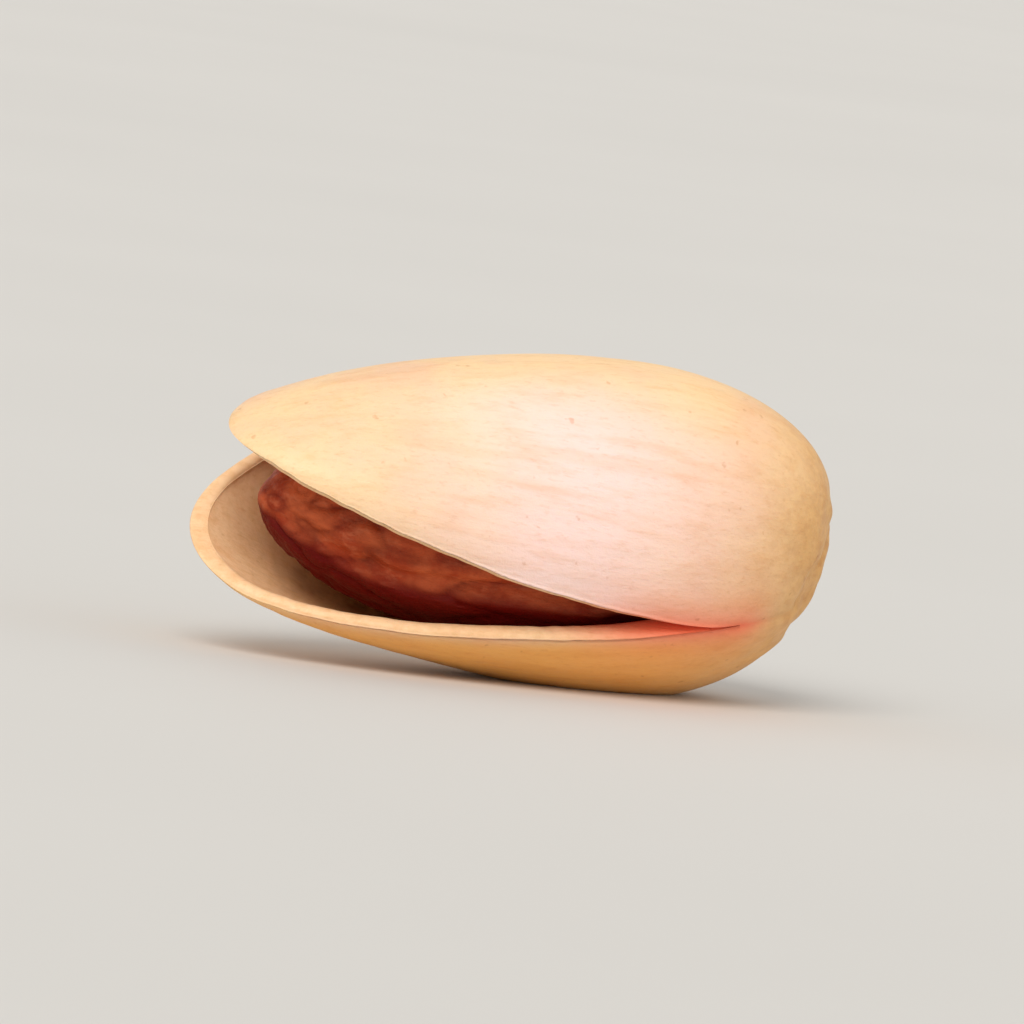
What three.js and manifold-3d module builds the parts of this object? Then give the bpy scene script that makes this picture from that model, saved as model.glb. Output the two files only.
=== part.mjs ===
// Pistachio in shell: one woody shell, split open along its seam, with the seed inside.
// Millimetres, +Z up. The long axis runs along X, tip towards -X, and the wider split faces -Y.

import * as THREE from 'three';
import { mergeVertices } from 'three/addons/utils/BufferGeometryUtils.js';
import Module from 'manifold-3d';

// ---- Driving dimensions ---------------------------------------------------

// The shell before it splits. Its own axes are a, from the stem end to the tip,
// b, towards the wider split, and c, up through the middle of the upper valve.
const LENGTH = 21.6;
const HALF_WIDTH = 5.6; // along b
const UPPER_DEPTH = 6.0; // along c
const LOWER_DEPTH = 6.05;
const SECTION_POWER = 1.8; // 2 is an ellipse, less is slightly keeled
const APEX_SHIFT = 2.1; // how far the tip leans towards the wider split

// Bluntness of the ends: 0.5 is round, 1 is pointed.
const WIDTH_ENDS = { stem: 0.44, tip: 0.5 };
const UPPER_ENDS = { stem: 0.38, tip: 0.82 };
const LOWER_ENDS = { stem: 0.45, tip: 0.98 };

// Wall thickness: thin at the split edges and the tip, thick at the stem end.
const EDGE_WALL = 0.6;
const BELLY_WALL = 0.95;
const STEM_WALL = 1.7;
const TIP_WALL = 0.6;

// The split. Both valves bend apart about one line that crosses the shell. It leaves the
// wider split's seam near the stem end and reaches the other seam about half way along.
const HINGE_NEAR = 0.12; // places along a, as parts of LENGTH
const HINGE_FAR = 0.55;
const GAPE_ANGLE = 15.5; // degrees, each valve
const BEND_LENGTH = 9; // the bend is spread over this length
const CRACK_START = 0.05; // a split narrower than twice this is still closed

// The seed, an egg shape lying in the cavity.
const SEED_LENGTH = 17.2;
const SEED_START = 2.6; // from the stem end, along a
const SEED_HALF_WIDTH = 4.15;
const SEED_DEPTH = 4;
const SEED_ENDS = { stem: 0.5, tip: 0.57 };
const SEED_SHIFT = { b: 0.45, c: -0.02 };

// How the nut lies: tip up, the wider split turned down from level, on a small flat spot.
const PITCH = 4.5; // degrees
const ROLL = 31; // degrees
const FLAT_DEPTH = 0.44; // the flat spot is this far above the round belly's lowest point

// Mesh fineness.
const SHELL_ROWS = 34;
const SHELL_COLUMNS = 16; // around each valve
const SEED_ROWS = 24;
const SEED_COLUMNS = 24;

const SHELL_COLOUR = 0xf2d3b0;
const SEED_COLOUR = 0x6e2418;

// ---- Shape formulas -------------------------------------------------------

const radians = THREE.MathUtils.degToRad;

// Evenly rounded spacing from 0 at the stem end to 1 at the tip, closer at both ends.
function spaced(row, rows) {
  return (1 - Math.cos((Math.PI * row) / rows)) / 2;
}

// Relative half-width of an egg at t, from 0 at either end to 1 where it is widest.
function swell(t, ends) {
  const peak = ends.stem / (ends.stem + ends.tip);
  const full = peak ** ends.stem * (1 - peak) ** ends.tip;
  return (t ** ends.stem * (1 - t) ** ends.tip) / full;
}

function signedPower(value, power) {
  return Math.sign(value) * Math.abs(value) ** power;
}

// How far the nut's middle line leans towards the wider split, at a place along it.
function lean(a) {
  return APEX_SHIFT * (a / LENGTH) ** 2;
}

// A point of the unsplit shell. The angle is 0 at the wider split and pi at the other seam,
// positive over the upper valve and negative under the lower one.
function closedShell(t, angle, side, inner) {
  const ends = side > 0 ? UPPER_ENDS : LOWER_ENDS;
  const depth = (side > 0 ? UPPER_DEPTH : LOWER_DEPTH) - (inner ? BELLY_WALL : 0);
  const width = HALF_WIDTH - (inner ? EDGE_WALL : 0);
  const a = inner ? STEM_WALL + t * (LENGTH - STEM_WALL - TIP_WALL) : t * LENGTH;
  const power = 2 / SECTION_POWER;
  const b = width * swell(t, WIDTH_ENDS) * signedPower(Math.cos(angle), power) + lean(a);
  const c = side * depth * swell(t, ends) * Math.abs(Math.sin(angle)) ** power;
  return new THREE.Vector3(a, b, c);
}

// The hinge line in the seam's plane, and the direction across it towards the tip.
function hingeLine() {
  const near = new THREE.Vector2(HINGE_NEAR * LENGTH, HALF_WIDTH * swell(HINGE_NEAR, WIDTH_ENDS));
  const far = new THREE.Vector2(HINGE_FAR * LENGTH, -HALF_WIDTH * swell(HINGE_FAR, WIDTH_ENDS));
  const along = far.clone().sub(near).normalize();
  const across = new THREE.Vector2(-along.y, along.x);
  return { near, along, across };
}

const HINGE = hingeLine();

// Bends a point of one valve away from the seam's plane.
function opened(point, side) {
  const { near, along, across } = HINGE;
  const offset = new THREE.Vector2(point.x - near.x, point.y - near.y);
  const distance = offset.dot(across);
  const alongLine = offset.dot(along);
  const full = radians(GAPE_ANGLE);
  const radius = BEND_LENGTH / full;
  const turn = full * THREE.MathUtils.clamp(distance / BEND_LENGTH, 0, 1);
  const beyond = Math.max(distance - BEND_LENGTH, 0);
  const before = Math.min(distance, 0);
  const height = side * point.z;
  const reach = before + radius * Math.sin(turn) + beyond * Math.cos(full) - height * Math.sin(turn);
  const lift = radius * (1 - Math.cos(turn)) + beyond * Math.sin(full) + height * Math.cos(turn);
  return new THREE.Vector3(
    near.x + along.x * alongLine + across.x * reach,
    near.y + along.y * alongLine + across.y * reach,
    side * lift,
  );
}

// From the nut's own axes to the frame: tip towards -X, wider split towards -Y, then lying down.
function lyingDown() {
  const turn = new THREE.Matrix4().makeRotationZ(Math.PI);
  const roll = new THREE.Matrix4().makeRotationX(radians(ROLL));
  const pitch = new THREE.Matrix4().makeRotationY(radians(PITCH));
  const centre = new THREE.Matrix4().makeTranslation(-LENGTH / 2, 0, 0);
  return pitch.multiply(roll).multiply(turn).multiply(centre);
}

// ---- Mesh building --------------------------------------------------------

// Collects points and faces. Faces that lose a corner at a pole become triangles.
class Skin {
  constructor() {
    this.points = [];
    this.triangles = [];
  }

  point(vector) {
    this.points.push(vector);
    return this.points.length - 1;
  }

  triangle(p, q, r) {
    if (p !== q && q !== r && r !== p) this.triangles.push(p, q, r);
  }

  quad(p, q, r, s) {
    this.triangle(p, q, r);
    this.triangle(p, r, s);
  }

  // Faces between neighbouring rows and columns of a grid of point numbers.
  sheet(grid, flipped) {
    for (let row = 0; row + 1 < grid.length; row++) {
      for (let column = 0; column + 1 < grid[row].length; column++) {
        const corners = [
          grid[row][column],
          grid[row][column + 1],
          grid[row + 1][column + 1],
          grid[row + 1][column],
        ];
        if (flipped) corners.reverse();
        this.quad(...corners);
      }
    }
  }

  geometry() {
    const geometry = new THREE.BufferGeometry();
    const flat = this.points.flatMap((vector) => vector.toArray());
    geometry.setAttribute('position', new THREE.Float32BufferAttribute(flat, 3));
    geometry.setIndex(this.triangles);
    return geometry;
  }
}

// True where the split along one seam is still closed, at a row of the outer surface.
function seamClosed(row, angle) {
  const t = spaced(row, SHELL_ROWS);
  return opened(closedShell(t, angle, 1, false), 1).z < CRACK_START;
}

// One surface of one valve as a grid of point numbers. Closed seam points and the pole at the
// stem end are shared with the other valve, through the shared map.
function valveGrid(skin, side, inner, shared) {
  const grid = [];
  for (let row = 0; row <= SHELL_ROWS; row++) {
    const t = spaced(row, SHELL_ROWS);
    const line = [];
    for (let column = 0; column <= SHELL_COLUMNS; column++) {
      const angle = (Math.PI * column) / SHELL_COLUMNS;
      const onSeam = column === 0 || column === SHELL_COLUMNS;
      const joined = row === 0 || (onSeam && seamClosed(row, angle));
      const point = opened(closedShell(t, angle, side, inner), side);
      if (joined) point.z = 0;
      const key = row === 0 ? `${inner}` : `${inner} ${row} ${column}`;
      const known = row === SHELL_ROWS ? line[0] : joined ? shared.get(key) : undefined;
      const number = known ?? skin.point(point);
      if (joined) shared.set(key, number);
      line.push(number);
    }
    grid.push(line);
  }
  return grid;
}

// The cut edge that joins a valve's outer and inner surfaces, along one seam.
function rim(skin, outer, inner, column, flipped) {
  const strip = outer.map((line, row) => [line[column], inner[row][column]]);
  const closedRows = strip.findIndex((_, row) => row > 0 && !seamClosed(row, column ? Math.PI : 0));
  skin.sheet(strip.slice(closedRows - 1), flipped);
}

function shellGeometry() {
  const skin = new Skin();
  const shared = new Map();
  for (const side of [1, -1]) {
    const outer = valveGrid(skin, side, false, shared);
    const inner = valveGrid(skin, side, true, shared);
    skin.sheet(outer, side < 0);
    skin.sheet(inner, side > 0);
    rim(skin, outer, inner, 0, side > 0);
    rim(skin, outer, inner, SHELL_COLUMNS, side < 0);
  }
  return skin.geometry();
}

function seedGeometry() {
  const skin = new Skin();
  const grid = [];
  for (let row = 0; row <= SEED_ROWS; row++) {
    const t = spaced(row, SEED_ROWS);
    const line = [];
    for (let column = 0; column < SEED_COLUMNS; column++) {
      const angle = (2 * Math.PI * column) / SEED_COLUMNS;
      const a = SEED_START + t * SEED_LENGTH;
      const b = SEED_HALF_WIDTH * swell(t, SEED_ENDS) * Math.cos(angle) + lean(a) + SEED_SHIFT.b;
      const c = SEED_DEPTH * swell(t, SEED_ENDS) * Math.sin(angle) + SEED_SHIFT.c;
      const atPole = row === 0 || row === SEED_ROWS;
      line.push(atPole && column > 0 ? line[0] : skin.point(new THREE.Vector3(a, b, c)));
    }
    line.push(line[0]);
    grid.push(line);
  }
  skin.sheet(grid, false);
  return skin.geometry();
}

// ---- Flat spot ------------------------------------------------------------

const wasm = await Module();
wasm.setup();

function toSolid(geometry) {
  const bare = geometry.clone();
  bare.deleteAttribute('normal');
  bare.deleteAttribute('uv');
  const merged = mergeVertices(bare);
  const vertProperties = new Float32Array(merged.attributes.position.array);
  const triVerts = new Uint32Array(merged.index.array);
  return new wasm.Manifold(new wasm.Mesh({ numProp: 3, vertProperties, triVerts }));
}

function toGeometry(solid) {
  const mesh = solid.getMesh();
  const geometry = new THREE.BufferGeometry();
  geometry.setAttribute('position', new THREE.Float32BufferAttribute(mesh.vertProperties, 3));
  geometry.setIndex([...mesh.triVerts]);
  return geometry;
}

// Takes everything below the given height off a geometry, which leaves a flat spot.
function flattened(geometry, height) {
  const slab = new THREE.BoxGeometry(2 * LENGTH, 2 * LENGTH, LENGTH);
  slab.translate(0, 0, height - LENGTH / 2);
  return toGeometry(toSolid(geometry).subtract(toSolid(slab)));
}

// ---- Assembly -------------------------------------------------------------

function lowest(geometry) {
  geometry.computeBoundingBox();
  return geometry.boundingBox.min.z;
}

function makeShell() {
  const whole = shellGeometry().applyMatrix4(lyingDown());
  const geometry = flattened(whole, lowest(whole) + FLAT_DEPTH);
  const material = new THREE.MeshStandardMaterial({ color: SHELL_COLOUR, roughness: 0.55, metalness: 0 });
  const mesh = new THREE.Mesh(geometry, material);
  mesh.name = 'shell';
  return mesh;
}

function makeSeed() {
  const geometry = seedGeometry().applyMatrix4(lyingDown());
  const material = new THREE.MeshStandardMaterial({ color: SEED_COLOUR, roughness: 0.6, metalness: 0 });
  const mesh = new THREE.Mesh(geometry, material);
  mesh.name = 'kernel';
  return mesh;
}

// The origin is under the middle of the nut, on the surface it lies on.
const nut = new THREE.Group();
nut.add(makeShell(), makeSeed());
const box = new THREE.Box3().setFromObject(nut);
const middle = box.getCenter(new THREE.Vector3());
nut.position.set(-middle.x, -middle.y, -box.min.z);
nut.updateMatrixWorld(true);

export default nut;
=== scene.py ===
import math

import bpy
import numpy as np
from mathutils import Matrix, Vector, noise


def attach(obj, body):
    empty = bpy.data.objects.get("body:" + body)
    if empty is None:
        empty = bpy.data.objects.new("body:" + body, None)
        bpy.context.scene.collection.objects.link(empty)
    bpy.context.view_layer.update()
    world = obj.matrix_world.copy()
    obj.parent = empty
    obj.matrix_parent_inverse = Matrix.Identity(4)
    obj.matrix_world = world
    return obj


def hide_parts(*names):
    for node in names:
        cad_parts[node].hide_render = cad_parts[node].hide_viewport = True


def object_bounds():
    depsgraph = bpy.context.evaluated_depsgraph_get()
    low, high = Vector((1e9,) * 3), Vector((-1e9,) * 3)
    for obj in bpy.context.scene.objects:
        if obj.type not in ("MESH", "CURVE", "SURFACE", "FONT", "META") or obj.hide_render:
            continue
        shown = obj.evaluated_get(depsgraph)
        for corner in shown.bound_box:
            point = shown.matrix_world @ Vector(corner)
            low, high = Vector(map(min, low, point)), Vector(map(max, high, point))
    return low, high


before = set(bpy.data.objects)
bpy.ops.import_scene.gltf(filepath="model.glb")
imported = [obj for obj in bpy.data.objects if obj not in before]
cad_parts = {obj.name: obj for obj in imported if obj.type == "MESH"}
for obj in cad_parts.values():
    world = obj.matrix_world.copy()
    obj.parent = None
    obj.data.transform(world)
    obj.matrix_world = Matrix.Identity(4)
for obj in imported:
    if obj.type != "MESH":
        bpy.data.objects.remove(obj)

# A pistachio in its split shell, lying on a pale floor. Lengths are in millimetres here and
# become metres when a mesh is made. The nut's own axes are a, from the stem end to the tip,
# b, towards the wider split, and c, up through the middle of the upper valve.

cad_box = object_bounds()

# ---- Driving dimensions, the same as the CAD part's -----------------------

MM = 0.001
LENGTH = 21.6
HALF_WIDTH = 5.6
UPPER, LOWER = 1, -1
DEPTH = {UPPER: 6.0, LOWER: 6.05}
SECTION_POWER = 1.8
APEX_SHIFT = 2.1
WIDTH_ENDS = (0.44, 0.5)
DEPTH_ENDS = {UPPER: (0.38, 0.82), LOWER: (0.45, 0.98)}
EDGE_WALL = 0.6
BELLY_WALL = 0.95
STEM_WALL = 1.7
TIP_WALL = 0.6
HINGE_NEAR = 0.12
HINGE_FAR = 0.55
GAPE_ANGLE = math.radians(15.5)
BEND_LENGTH = 9.0
SEED_LENGTH = 17.2
SEED_START = 2.6
SEED_HALF_WIDTH = 4.15
SEED_DEPTH = 4.0
SEED_ENDS = (0.5, 0.57)
SEED_SHIFT = (0.45, -0.02)
PITCH = math.radians(4.5)
ROLL = math.radians(31)
FLAT_DEPTH = 0.44

# ---- Surface detail, which only goes inwards from the CAD shape ------------

SHELL_ROWS = 210
SHELL_COLUMNS = 84
SEED_ROWS = 240
SEED_COLUMNS = 180
CRACK_START = 0.012  # half of the split's width where it starts to show
EDGE_STAND = 0.06  # how far an edge stands back from the split's middle
EDGE_ROUND = 0.16  # how far the split edges are rounded back
EDGE_STEPS = 7  # faces across a split edge
LIP_WIDTH = 3.2  # how far the lining fades from pale to brown inside a split edge; the brown is partly the lining's own tone and partly painted shade deeper in
SWELLING = 0.016  # broad unevenness of the shell, as a part of its half-width
RIPPLE = 0.009  # long low ridges, as a part of the half-width
SEAM_GROOVE = 0.09  # depth of the closed seam's line
SEAM_WIDTH = 0.16
SCAR_RADIUS = 1.55  # the scar where the stalk was
SCAR_DEPTH = 0.32
SCAR_OVAL = 1.25  # how many times wider than high it is
SCAR_FIBRES = 0.09  # roughness of the fibres in the scar
COLLAR_RADIUS = 2.5  # the fine groove round the scar
COLLAR_DEPTH = 0.16
COLLAR_WIDTH = 0.32
PUCKERS = 13  # wrinkles that run out from the scar
PUCKER_RADIUS = 3.255  # where the wrinkles are deepest
PUCKER_DEPTH = 0.07
TAN_LENGTH = 3.4  # how far the stem end's tan colour reaches
SEED_SEAM_DEPTH = 0.3  # the groove between the two seed leaves
SEED_SEAM_WIDTH = 0.34
FOLD_DEPTH = 0.14  # the larger wrinkles of the seed's skin
CREASE_DEPTH = 0.04  # the finer ones
LUMP_DEPTH = 0.22


# ---- Shape formulas ---------------------------------------------------------

def spaced(rows):
    """Places from 0 at the stem end to 1 at the tip, closer together at both ends."""
    return (1 - np.cos(np.linspace(0, math.pi, rows + 1))) / 2


def swell(t, ends):
    """Relative half-width of an egg, from 0 at either end to 1 where it is widest."""
    stem, tip = ends
    peak = stem / (stem + tip)
    return t**stem * (1 - t) ** tip / (peak**stem * (1 - peak) ** tip)


def lean(a):
    """How far the nut's middle leans sideways at a."""
    return APEX_SHIFT * (a / LENGTH) ** 2


def smooth(low, high, value):
    """0 below low, 1 above high and an even rise between them."""
    x = np.clip((value - low) / (high - low), 0, 1)
    return x * x * (3 - 2 * x)


def closed_shell(t, angle, side, inner):
    """Points of the unsplit shell. The angle is 0 at the wider split and pi at the far seam."""
    depth = DEPTH[side] - (BELLY_WALL if inner else 0)
    width = HALF_WIDTH - (EDGE_WALL if inner else 0)
    a = STEM_WALL + t * (LENGTH - STEM_WALL - TIP_WALL) if inner else t * LENGTH
    power = 2 / SECTION_POWER
    across = np.sign(np.cos(angle)) * np.abs(np.cos(angle)) ** power
    b = width * swell(t, WIDTH_ENDS) * across + lean(a)
    c = side * depth * swell(t, DEPTH_ENDS[side]) * np.abs(np.sin(angle)) ** power
    return np.stack(np.broadcast_arrays(a, b, c), axis=-1)


def hinge_line():
    """A point on the hinge line, the direction along it and the one across it."""
    near = np.array([HINGE_NEAR * LENGTH, HALF_WIDTH * swell(HINGE_NEAR, WIDTH_ENDS)])
    far = np.array([HINGE_FAR * LENGTH, -HALF_WIDTH * swell(HINGE_FAR, WIDTH_ENDS)])
    along = (far - near) / np.linalg.norm(far - near)
    return near, along, np.array([-along[1], along[0]])


def opened(points, side):
    """Bends one valve away from the seam's plane about the hinge line."""
    near, along, across = hinge_line()
    offset = points[..., :2] - near
    distance = offset @ across
    height = side * points[..., 2]
    radius = BEND_LENGTH / GAPE_ANGLE
    turn = GAPE_ANGLE * np.clip(distance / BEND_LENGTH, 0, 1)
    beyond = np.maximum(distance - BEND_LENGTH, 0)
    before = np.minimum(distance, 0)
    reach = before + radius * np.sin(turn) + beyond * math.cos(GAPE_ANGLE) - height * np.sin(turn)
    lift = radius * (1 - np.cos(turn)) + beyond * math.sin(GAPE_ANGLE) + height * np.cos(turn)
    flat = near + (offset @ along)[..., None] * along + reach[..., None] * across
    return np.concatenate([flat, (side * lift)[..., None]], axis=-1)


def split_width(t, angle):
    """Half of the split's width along one seam, where a closed seam is 0."""
    return opened(closed_shell(t, angle, UPPER, False), UPPER)[..., 2]


def lying_down(points):
    """From the nut's own axes to the frame's directions, before it is moved into place."""
    turn = (
        Matrix.Rotation(PITCH, 3, "Y")
        @ Matrix.Rotation(ROLL, 3, "X")
        @ Matrix.Rotation(math.pi, 3, "Z")
    )
    return (points - np.array([LENGTH / 2, 0, 0])) @ np.array(turn).T


def resting_place():
    """What moves the nut over the origin, with its flat spot on the floor."""
    t, angle = np.meshgrid(spaced(SHELL_ROWS), np.linspace(0, math.pi, SHELL_COLUMNS), indexing="ij")
    valves = [lying_down(opened(closed_shell(t, angle, side, False), side)) for side in (UPPER, LOWER)]
    points = np.concatenate(valves).reshape(-1, 3)
    low, high = points.min(axis=0), points.max(axis=0)
    middle = (low + high) / 2
    return np.array([-middle[0], -middle[1], -low[2] - FLAT_DEPTH])


PLACE = resting_place()


def rough(points, size, seed):
    """Smooth unevenness from -1 to 1 with lumps of about the given size, a number or three."""
    scaled = points.reshape(-1, 3) / np.asarray(size, dtype=float) + 17.3 * seed
    values = [noise.noise(Vector(point)) for point in scaled]
    return np.array(values).reshape(points.shape[:-1])


def ridged(points, size, seed):
    """Narrow crooked lines of 1 that fall to 0 on both sides."""
    return np.clip(1 - 2.2 * np.abs(rough(points, size, seed)), 0, 1)


# ---- Mesh making ------------------------------------------------------------

WELD = 0.00005  # points closer than this are one point


class Skin:
    """Collects grids of points, joins those that coincide and makes one mesh."""

    def __init__(self, masks):
        self.points = []
        self.quads = []
        self.masks = {name: [] for name in masks}
        self.count = 0

    def sheet(self, points, masks, flipped):
        """Adds a grid of points, with a number or a grid for each mask that isn't 0 on it."""
        rows, columns = points.shape[:2]
        number = np.arange(rows * columns).reshape(rows, columns) + self.count
        corners = [number[:-1, :-1], number[:-1, 1:], number[1:, 1:], number[1:, :-1]]
        if flipped:
            corners.reverse()
        self.quads.append(np.stack(corners, axis=-1).reshape(-1, 4))
        self.points.append(points.reshape(-1, 3))
        for name, values in self.masks.items():
            wide = np.broadcast_to(masks.get(name, 0.0), points.shape[:2])
            values.append(wide.reshape(-1))
        self.count += rows * columns

    def piece(self, name):
        """Makes the collected grids one object."""
        points = np.concatenate(self.points)
        keys = np.round(points / WELD).astype(np.int64)
        _, first, number = np.unique(keys, axis=0, return_index=True, return_inverse=True)
        quads = number.reshape(-1)[np.concatenate(self.quads)]
        mesh = bpy.data.meshes.new(name)
        faces = [face for face in map(corners_of, quads) if face]
        mesh.from_pydata((points[first] * MM).tolist(), [], faces)
        for mask, values in self.masks.items():
            layer = mesh.attributes.new(mask, "FLOAT", "POINT")
            layer.data.foreach_set("value", np.concatenate(values)[first].astype(np.float32))
        mesh.shade_smooth()
        mesh.update()
        piece = bpy.data.objects.new(name, mesh)
        bpy.context.collection.objects.link(piece)
        return piece


def corners_of(quad):
    """A face's different corners, or nothing if fewer than three are left."""
    kept = list(dict.fromkeys(quad.tolist()))
    return kept if len(kept) > 2 else None


# ---- The shell --------------------------------------------------------------

def scarred(points):
    """The stalk's scar, a shallow fibrous dish with puckers round it, pressed into the stem end."""
    a, b, c = points[..., 0], points[..., 1], points[..., 2]
    spread = np.hypot(b, SCAR_OVAL * c)
    heading = np.arctan2(c, b)
    ragged = spread * (1 + 0.16 * rough(points, 0.9, 5))
    inside = 1 - smooth(0.7 * SCAR_RADIUS, SCAR_RADIUS, ragged)
    dish = SCAR_DEPTH * inside
    ring = PUCKER_DEPTH * np.exp(-(((ragged - PUCKER_RADIUS) / 1.5) ** 2))
    collar = COLLAR_DEPTH * np.exp(-(((ragged - COLLAR_RADIUS) / COLLAR_WIDTH) ** 2))
    waves = 0.5 + 0.5 * np.sin(PUCKERS * heading + 4 * rough(points, 2.2, 6))
    fibres = SCAR_FIBRES * rough(points, (0.5, 0.24, 0.24), 7) * inside
    fade = 1 - smooth(0.12 * LENGTH, 0.3 * LENGTH, a)
    moved = points.copy()
    moved[..., 0] += fade * (dish + collar + ring * waves + fibres)
    from_stem = np.maximum(a + 0.7 * rough(points, 2.0, 9), 0)
    tan = np.exp(-((from_stem / TAN_LENGTH) ** 2))
    # The stem mask is the stem end's own tan, plus tan painted into the collar groove as shade.
    return moved, {"stem": np.minimum(tan + 2 * fade * collar, 1), "scar": fade * inside}


def edge_shape(t, angle, side):
    """How far a valve's edge stands back from the seam's plane, and how far it is rounded.

    Both are 0 where the seam is closed, and shrink where the valve itself is shallow.
    """
    width = split_width(t, angle)
    bulk = np.clip(DEPTH[side] * swell(t, DEPTH_ENDS[side]), 0, 1)
    rounding = EDGE_ROUND * smooth(0.0, 0.35, width) * bulk
    spots = closed_shell(t, angle, side, False)
    nicks = 0.05 * rough(spots, 1.5, 8 + side) + 0.03 * rough(spots, 0.45, 11 + side)
    return (EDGE_STAND + nicks) * smooth(0.05, 0.5, width) * bulk, rounding


def valve(side):
    """Outer and inner grids of one valve and the strips along its two split edges."""
    t = spaced(SHELL_ROWS)[:, None]
    angle = np.linspace(0, math.pi, SHELL_COLUMNS + 1)[None, :]
    outer = closed_shell(t, angle, side, False)
    inner = closed_shell(t, angle, side, True)
    swelling = SWELLING * (0.5 + 0.5 * rough(outer, 5.5, 1))
    ripple = RIPPLE * (0.5 + 0.5 * rough(outer, (3.4, 1.3, 1.3), 2))
    shrink = 1 - swelling - ripple
    for grid in (outer, inner):
        middle = lean(grid[..., 0])
        grid[..., 1] = middle + (grid[..., 1] - middle) * shrink
        grid[..., 2] *= shrink
    near = edge_shape(t[:, 0], 0.0, side)
    far = edge_shape(t[:, 0], math.pi, side)
    slope = 1 - np.abs(np.sin(angle))
    back = np.where(np.cos(angle) > 0, sum(near)[:, None], sum(far)[:, None]) * slope
    seam = groove(t, angle, outer)
    outer[..., 1] -= seam * np.sign(np.cos(angle))
    outer, tints = scarred(outer)
    tints["seam"] = seam / SEAM_GROOVE
    for grid in (outer, inner):
        grid[..., 2] += side * back
    ends = ((0, near), (-1, far))
    edges = [edge_strip(outer[:, column], inner[:, column], *shape, side) for column, shape in ends]
    return outer, inner, edges, tints


def edge_strip(outer, inner, stand, rounding, side):
    """The rounded strip between a valve's outer and inner surfaces along one split edge."""
    turn = np.linspace(0, math.pi, EDGE_STEPS + 1)[None, :]
    centre = (outer + inner)[:, None, :2] / 2
    half = (outer - inner)[:, None, :2] / 2
    flat = centre + half * np.cos(turn)[..., None]
    height = stand[:, None] + rounding[:, None] * (1 - np.sin(turn))
    return np.concatenate([flat, side * height[..., None]], axis=-1)


def groove(t, angle, points):
    """Depth of the fine line along a seam that is still closed."""
    seam_angle = np.where(np.cos(angle) > 0, 0.0, math.pi)
    closed = 1 - smooth(0.0, 0.06, split_width(t, seam_angle))
    start = smooth(0.02, 0.08, t)
    return SEAM_GROOVE * np.exp(-((points[..., 2] / SEAM_WIDTH) ** 2)) * closed * start


def first_open_row(angle):
    """The first row from the stem end where the seam at this angle shows as a split."""
    return int(np.argmax(split_width(spaced(SHELL_ROWS), angle) > CRACK_START))


def laid(points, side, closed_rows):
    """Bends a valve's grid open, keeps closed seams shut and lays it in its place."""
    bent = opened(points, side)
    bent[0, :, 2] = 0
    bent[: closed_rows[0], 0, 2] = 0
    bent[: closed_rows[1], -1, 2] = 0
    return lying_down(bent) + PLACE


def laid_edge(points, side):
    """Does the same for the strip along a split edge, whose first row closes on the seam."""
    bent = opened(points, side)
    bent[0, :, 2] = 0
    return lying_down(bent) + PLACE


def crack_flush(points, spread):
    """The red flush round the end of the wider split, fading over the given distance."""
    t = spaced(SHELL_ROWS)[-points.shape[0]:, None]
    narrow = 1 - smooth(0.1, 0.75, split_width(t, 0.0))
    near = np.exp(-np.abs(points[..., 2]) / spread) * (points[..., 1] > 0)
    return near * narrow * smooth(0.08, 0.16, t)


def shell_masks(points, side):
    """Where the outside is pink beside the split, orange underneath and red at the split's end. The
    orange underneath is partly the shell's own tan and partly painted shade and warm reflected light
    from below.
    """
    t = spaced(SHELL_ROWS)[:, None]
    sideways = points[..., 1] - lean(points[..., 0])
    reach, strength = ((4.2, 7.0), 1.0) if side == UPPER else ((0.0, 0.6), 0.35)
    beside = strength * (1 - smooth(*reach, np.abs(points[..., 2])))
    middle = np.exp(-(((t - 0.48) / 0.25) ** 2))
    # Orange underneath: partly the shell's own tan, partly painted shade and warm reflected light from
    # below, stronger on the near side
    tan_and_bounce_beneath = smooth(-0.2, 0.9, -points[..., 2])
    warmth = (0.2 + 0.8 * smooth(-4.5, 0.5, sideways)) * (0.6 + 0.4 * smooth(0.1, 0.3, t))
    return {
        "blush": beside * smooth(-1.0, 2.0, sideways) * middle,
        "under": tan_and_bounce_beneath * warmth,
        "crack": crack_flush(points, 0.75),
    }


def make_shell():
    skin = Skin(("inside", "edge", "stem", "scar", "seam", "blush", "under", "crack"))
    closed_rows = (first_open_row(0.0), first_open_row(math.pi))
    for side in (UPPER, LOWER):
        outer, inner, edges, tints = valve(side)
        lower = side == LOWER
        body = laid(outer, side, closed_rows)
        body[..., 2] = np.maximum(body[..., 2], 0)  # the flat spot
        skin.sheet(body, shell_masks(outer, side) | tints, lower)
        lining = {
            "edge": 1.0,
            # how far in from the edge the lining turns brown: partly its own tone, partly painted
            # shade in the hollow
            "inside": smooth(0.0, LIP_WIDTH, np.abs(inner[..., 2])),
            "crack": crack_flush(inner, 1.5),
        }
        skin.sheet(laid(inner, side, closed_rows), lining, not lower)
        for number, edge in enumerate(edges):
            split = edge[closed_rows[number] - 1:]
            tint = {"edge": 1.0, "crack": crack_flush(split, 1.5)}
            skin.sheet(laid_edge(split, side), tint, lower == (number == 0))
    return skin.piece("nutshell")


# ---- The seed ---------------------------------------------------------------

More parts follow.
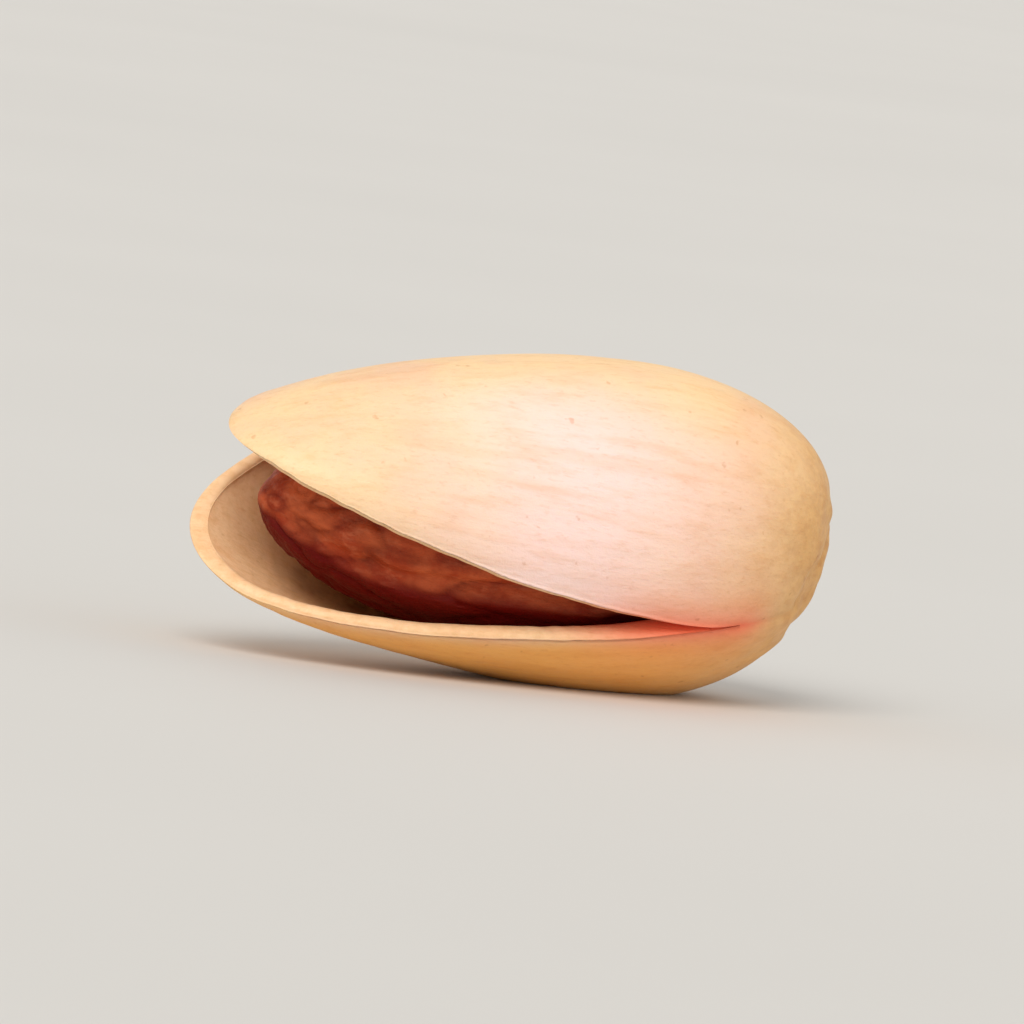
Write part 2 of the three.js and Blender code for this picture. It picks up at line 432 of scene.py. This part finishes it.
def make_seed():
    """The seed in its wrinkled skin, an egg shape that leans towards the wider split."""
    t = spaced(SEED_ROWS)[:, None]
    angle = np.linspace(0, 2 * math.pi, SEED_COLUMNS + 1)[None, :]
    size = swell(t, SEED_ENDS)
    a = SEED_START + t * SEED_LENGTH + 0 * angle
    round_b = SEED_HALF_WIDTH * size * np.cos(angle)
    round_c = SEED_DEPTH * size * np.sin(angle)
    spots = np.stack([a, round_b, round_c], axis=-1)
    wander = 0.35 * rough(spots * [1, 0, 0], 3.0, 21)
    seam = np.exp(-(((round_c - wander) / SEED_SEAM_WIDTH) ** 2))
    folds = ridged(spots, (4.8, 0.85, 0.85), 22) ** 3
    creases = ridged(spots, (1.7, 0.36, 0.36), 23) ** 2
    lumps = 0.5 + 0.5 * rough(spots, 3.0, 24)
    depth = SEED_SEAM_DEPTH * seam + FOLD_DEPTH * folds + CREASE_DEPTH * creases + LUMP_DEPTH * lumps
    radius = np.maximum(SEED_DEPTH * size, 1e-6)
    shrink = 1 - np.minimum(depth, 0.25 * radius) / radius
    b = round_b * shrink + lean(a) + SEED_SHIFT[0]
    c = round_c * shrink + SEED_SHIFT[1]
    for grid in (b, c):
        grid[:, -1] = grid[:, 0]
    b[[0, -1]] = b[[0, -1], :1]
    c[[0, -1]] = c[[0, -1], :1]
    points = lying_down(np.stack([a, b, c], axis=-1)) + PLACE
    skin = Skin(("crease_shade", "low"))
    masks = {
        # painted shade in the skin's folds and creases, darker where they are deeper
        "crease_shade": np.clip(0.8 * folds + 0.4 * creases, 0, 1),
        # painted shade: the lower side, below the seam, turns maroon
        "low": 1 - smooth(-0.7, -0.1, round_c - wander),
    }
    skin.sheet(points, masks, False)
    return skin.piece("seed")


# ---- Materials --------------------------------------------------------------

def linear(red, green, blue):
    """A colour given as 0 to 255 screen values, as the shader wants it."""
    def one(value):
        value /= 255
        return value / 12.92 if value <= 0.04045 else ((value + 0.055) / 1.055) ** 2.4
    return (one(red), one(green), one(blue), 1.0)


# The shell's colours
CREAM = linear(240, 197, 158), linear(244, 207, 158)
# Orange underneath: partly the shell's own tan, partly painted shade and warm reflected light
ORANGE_TAN_AND_BOUNCE = linear(255, 184, 90)
PINK = linear(250, 216, 208)
RED = linear(252, 112, 76)
SEAM_TAN = linear(216, 152, 98)
STEM_TAN = linear(222, 168, 94), linear(206, 148, 76)
SCAR_BROWN = linear(222, 168, 96), linear(168, 108, 54)
EDGE_CREAM = linear(252, 208, 162), linear(240, 193, 143)
# the lining's brown is partly its own tone and partly painted shade deeper in the hollow
LINING_BROWN_AND_SHADE = linear(238, 168, 98), linear(206, 132, 66)

# What the fine patterns multiply the shell's colours by
STREAK_TINT = linear(240, 222, 198)
GRAIN_TINT = linear(226, 198, 166)
VEIN_TINT = linear(242, 224, 196)
FRECKLE_TINT = linear(206, 172, 130)

# The seed's and the floor's colours
SKIN_BROWN = linear(172, 64, 30), linear(204, 98, 56)
SKIN_VEIN = linear(218, 122, 84)
# painted shade for the skin's creases
SKIN_CREASE_SHADE = linear(96, 10, 2)
# maroon painted on the seed's lower side as shade
MAROON_SHADE = linear(100, 0, 0)
FLOOR_GREY = linear(206, 204, 200), linear(211, 209, 205)


class Nodes:
    """A material's node tree with short calls for the nodes used here."""

    def __init__(self, name):
        self.material = bpy.data.materials.new(name)
        self.material.use_nodes = True
        self.tree = self.material.node_tree
        self.shader = self.tree.nodes["Principled BSDF"]
        # Noise is placed in millimetres, turned so that x runs along the nut.
        coordinates = self.tree.nodes.new("ShaderNodeTexCoord")
        mapping = self.tree.nodes.new("ShaderNodeMapping")
        mapping.inputs["Scale"].default_value = (1 / MM,) * 3
        mapping.inputs["Rotation"].default_value = (0, -PITCH, 0)
        self.tree.links.new(coordinates.outputs["Object"], mapping.inputs["Vector"])
        self.place = mapping.outputs["Vector"]

    def put(self, socket, value):
        """Sets a socket to a number or colour, or links another node's socket to it."""
        if isinstance(value, bpy.types.NodeSocket):
            self.tree.links.new(value, socket)
        else:
            socket.default_value = value

    def stretched(self, scale):
        """Places to read noise at. A scale below 1 draws it out along that axis."""
        node = self.tree.nodes.new("ShaderNodeVectorMath")
        node.operation = "MULTIPLY"
        self.put(node.inputs[0], self.place)
        node.inputs[1].default_value = scale
        return node.outputs["Vector"]

    def grain(self, scale, detail=3.0, roughness=0.5, stretch=None):
        """Noise from 0 to 1, at so many lumps to the millimetre."""
        node = self.tree.nodes.new("ShaderNodeTexNoise")
        self.put(node.inputs["Vector"], self.stretched(stretch) if stretch else self.place)
        node.inputs["Scale"].default_value = scale
        node.inputs["Detail"].default_value = detail
        node.inputs["Roughness"].default_value = roughness
        return node.outputs["Fac"]

    def mask(self, name):
        """A mask painted on the mesh's points."""
        node = self.tree.nodes.new("ShaderNodeAttribute")
        node.attribute_name = name
        return node.outputs["Fac"]

    def ranged(self, value, low, high, to_low=0.0, to_high=1.0):
        """A smooth step between two values."""
        node = self.tree.nodes.new("ShaderNodeMapRange")
        node.interpolation_type = "SMOOTHSTEP"
        ends = {"From Min": low, "From Max": high, "To Min": to_low, "To Max": to_high}
        for name, number in {"Value": value, **ends}.items():
            self.put(node.inputs[name], number)
        return node.outputs["Result"]

    def math(self, operation, first, second):
        node = self.tree.nodes.new("ShaderNodeMath")
        node.operation = operation
        self.put(node.inputs[0], first)
        self.put(node.inputs[1], second)
        return node.outputs["Value"]

    def mix(self, amount, first, second, blend="MIX"):
        node = self.tree.nodes.new("ShaderNodeMix")
        node.data_type = "RGBA"
        node.blend_type = blend
        self.put(node.inputs["Factor"], amount)
        self.put(node.inputs[6], first)
        self.put(node.inputs[7], second)
        return node.outputs[2]

    def masked(self, name, most, first, second):
        """Goes from the first colour to the second as far as a painted mask says."""
        return self.mix(self.math("MULTIPLY", self.mask(name), most), first, second)

    def bump(self, height, distance, under=None):
        """Relief of so many millimetres, on top of any finer relief under it."""
        node = self.tree.nodes.new("ShaderNodeBump")
        node.inputs["Distance"].default_value = distance * MM
        node.inputs["Strength"].default_value = 1.0
        self.put(node.inputs["Height"], height)
        if under is not None:
            self.put(node.inputs["Normal"], under)
        return node.outputs["Normal"]


def shell_outside(n):
    """Cream, orange underneath and pink beside the split, with a tan stem end and a brown scar. The
    orange underneath is partly the shell's own tan and partly painted shade and warm reflected light;
    the extra tan in the groove round the scar is painted shade.
    """
    colour = n.mix(n.ranged(n.grain(0.22, 3.0, 0.55), 0.36, 0.62), *CREAM)
    # the orange underneath is partly tan and partly painted shade and reflected light
    colour = n.masked("under", 0.9, colour, ORANGE_TAN_AND_BOUNCE)
    colour = n.masked("blush", 0.95, colour, PINK)
    colour = n.masked("seam", 0.45, colour, SEAM_TAN)
    stem = n.mix(n.ranged(n.grain(3.2, 4.0, 0.6, (0.5, 1, 1)), 0.35, 0.7), *STEM_TAN)
    # the stem mask includes painted shade in the collar groove as well as the stem end's tan
    colour = n.masked("stem", 0.9, colour, stem)
    scar = n.mix(n.ranged(n.grain(4.5, 4.0, 0.7), 0.35, 0.7), *SCAR_BROWN)
    return n.masked("scar", 0.8, colour, scar)


def shell_inside(n):
    """The pale split edges, and the darker blotched lining further in, whose brown is partly its own
    tone and partly painted shade deeper in the hollow.
    """
    edge = n.mix(n.ranged(n.grain(3.0, 4.0, 0.6), 0.35, 0.75), *EDGE_CREAM)
    lining = n.mix(n.ranged(n.grain(0.8, 4.0, 0.6), 0.4, 0.65), *LINING_BROWN_AND_SHADE)
    # the inside mask darkens the lining with depth, partly its own tone and partly painted shade
    return n.mix(n.mask("inside"), edge, lining)


def shell_material():
    """Woody shell with long streaks, fine grain, faint veins and a few freckles."""
    n = Nodes("nutshell")
    streaks = n.grain(2.6, 4.0, 0.6, (0.16, 1, 1))
    fine = n.grain(9.0, 3.0, 0.6, (0.3, 1, 1))
    veins = n.grain(1.1, 3.0, 0.55, (0.12, 1, 1))
    freckles = n.grain(2.3, 2.0, 0.5)
    colour = n.mix(n.mask("edge"), shell_outside(n), shell_inside(n))
    colour = n.masked("crack", 0.9, colour, RED)
    for pattern, low, high, most, tint in (
        (streaks, 0.45, 0.75, 0.38, STREAK_TINT),
        (fine, 0.5, 0.8, 0.32, GRAIN_TINT),
        (veins, 0.5, 0.68, 0.26, VEIN_TINT),
        (freckles, 0.69, 0.78, 0.4, FRECKLE_TINT),
    ):
        colour = n.mix(n.ranged(pattern, low, high, 0.0, most), colour, tint, "MULTIPLY")
    n.put(n.shader.inputs["Base Color"], colour)
    rough = n.ranged(n.grain(1.1, 3.0), 0.3, 0.7, 0.42, 0.56)
    n.put(n.shader.inputs["Roughness"], rough)
    grain = n.bump(fine, 0.014)
    pits = n.bump(n.grain(16.0, 2.0, 0.5), 0.009, grain)
    ridges = n.bump(veins, 0.05, pits)
    n.put(n.shader.inputs["Normal"], n.bump(streaks, 0.026, ridges))
    n.shader.inputs["Specular IOR Level"].default_value = 0.45
    n.shader.inputs["Subsurface Weight"].default_value = 0.12
    n.shader.inputs["Subsurface Radius"].default_value = (1.0, 0.55, 0.3)
    n.shader.inputs["Subsurface Scale"].default_value = 0.8 * MM
    return n.material


def seed_material():
    """Red-brown skin, with painted shade darkening its creases and painted shade in maroon on its
    lower side.
    """
    n = Nodes("seed_skin")
    blots = n.grain(0.55, 4.0, 0.6)
    veins = n.grain(2.4, 5.0, 0.65, (0.35, 1, 1))
    colour = n.mix(n.ranged(blots, 0.38, 0.64), *SKIN_BROWN)
    colour = n.mix(n.ranged(veins, 0.5, 0.72, 0.0, 0.6), colour, SKIN_VEIN)
    # painted shade darkening the creases
    colour = n.masked("crease_shade", 0.6, colour, SKIN_CREASE_SHADE)
    # painted shade in maroon on the lower side
    colour = n.masked("low", 0.95, colour, MAROON_SHADE)
    n.put(n.shader.inputs["Base Color"], colour)
    n.put(n.shader.inputs["Roughness"], n.ranged(n.grain(1.6, 3.0), 0.3, 0.7, 0.4, 0.6))
    skin = n.bump(n.grain(7.0, 4.0, 0.65, (0.5, 1, 1)), 0.05)
    n.put(n.shader.inputs["Normal"], n.bump(veins, 0.08, skin))
    n.shader.inputs["Specular IOR Level"].default_value = 0.14
    return n.material


def floor_material():
    n = Nodes("pale_floor")
    colour = n.mix(n.grain(0.02, 2.0), *FLOOR_GREY)
    n.put(n.shader.inputs["Base Color"], colour)
    n.shader.inputs["Roughness"].default_value = 0.7
    return n.material


# ---- Stage: floor, light and camera -----------------------------------------

FLOOR_SIZE = 8.0  # metres
EXPOSURE = 0.15  # stops
CAMERA_AZIMUTH = -17.4  # degrees; 0 looks along +Y
CAMERA_ELEVATION = 4.1
CAMERA_TILT = 7.7
CAMERA_DISTANCE = 0.4
CAMERA_LENS = 430.0


def make_floor():
    mesh = bpy.data.meshes.new("floor")
    half = FLOOR_SIZE / 2
    corners = [(-half, -half, 0), (half, -half, 0), (half, half, 0), (-half, half, 0)]
    mesh.from_pydata(corners, [], [(0, 1, 2, 3)])
    floor = bpy.data.objects.new("floor", mesh)
    floor.location.z = -0.01 * MM
    bpy.context.collection.objects.link(floor)
    floor.data.materials.append(floor_material())


def soft_light(name, place, width, strength, colour):
    """A far lamp in the given direction. Its width, in degrees, makes the shadows soft."""
    data = bpy.data.lights.new(name, "SUN")
    data.angle = math.radians(width)
    data.energy = strength
    data.color = colour
    light = bpy.data.objects.new(name, data)
    light.rotation_euler = Vector(place).to_track_quat("Z", "Y").to_euler()
    bpy.context.collection.objects.link(light)


def make_lights():
    soft_light("key", (-0.45, -0.7, 0.8), 35, 1.7, (1.0, 0.97, 0.93))
    soft_light("fill", (0.9, -0.6, 0.35), 60, 0.3, (1.0, 0.98, 0.96))
    world = bpy.data.worlds.new("studio")
    world.use_nodes = True
    world.node_tree.nodes["Background"].inputs["Color"].default_value = (1.0, 0.985, 0.96, 1)
    world.node_tree.nodes["Background"].inputs["Strength"].default_value = 0.6
    bpy.context.scene.world = world


def make_camera(centre):
    azimuth, elevation = math.radians(CAMERA_AZIMUTH), math.radians(CAMERA_ELEVATION)
    back = Vector((
        math.sin(azimuth) * math.cos(elevation),
        -math.cos(azimuth) * math.cos(elevation),
        math.sin(elevation),
    ))
    data = bpy.data.cameras.new("camera")
    data.lens = CAMERA_LENS
    data.clip_start = 0.01
    camera = bpy.data.objects.new("camera", data)
    camera.location = centre + back * CAMERA_DISTANCE
    upright = back.to_track_quat("Z", "Y")
    tilted = Matrix.Rotation(math.radians(CAMERA_TILT), 3, back) @ upright.to_matrix()
    camera.rotation_euler = tilted.to_euler()
    bpy.context.collection.objects.link(camera)
    bpy.context.scene.camera = camera


def main():
    low, high = cad_box
    centre = (low + high) / 2
    make_camera(centre)
    make_lights()
    make_floor()
    for piece, node, material in (
        (make_shell(), "shell", shell_material()),
        (make_seed(), "kernel", seed_material()),
    ):
        piece.data.materials.append(material)
        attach(piece, "root")
        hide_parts(node)
    bpy.context.scene.view_settings.view_transform = "Standard"
    bpy.context.scene.view_settings.exposure = EXPOSURE


main()
